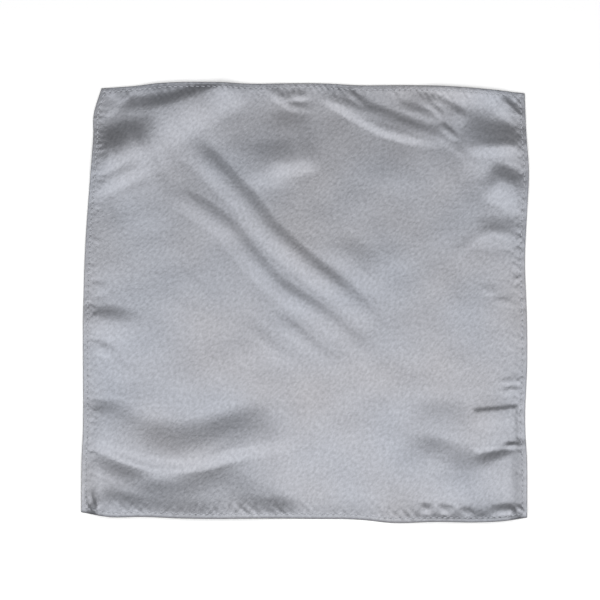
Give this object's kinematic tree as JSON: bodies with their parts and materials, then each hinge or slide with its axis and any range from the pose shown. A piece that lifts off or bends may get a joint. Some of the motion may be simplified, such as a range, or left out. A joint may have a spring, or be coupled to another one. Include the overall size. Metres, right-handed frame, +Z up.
{
  "type": "pocket square",
  "caption": "Square of silver satin with narrow turned hems, lying open and nearly flat with soft diagonal creases.",
  "frame": {"origin": "on the table, under the middle of the box round the outline", "axes": "+Z up out of the satin's right side, +Y towards the side that is the picture's top, +X towards the picture's right"},
  "size_m": [0.2345, 0.233, 0.0036],
  "materials": {
    "satin": "silver-grey satin, smooth side up, soft sheen",
    "satin_reverse": "dull back of the same satin",
    "label_ribbon": "matt white woven ribbon, bare"
  },
  "bodies": {
    "root": {"panel": "satin", "hem_top": "satin", "hem_right": "satin", "hem_bottom": "satin", "hem_left": "satin", "care_label": "label_ribbon"}
  },
  "joints": []
}
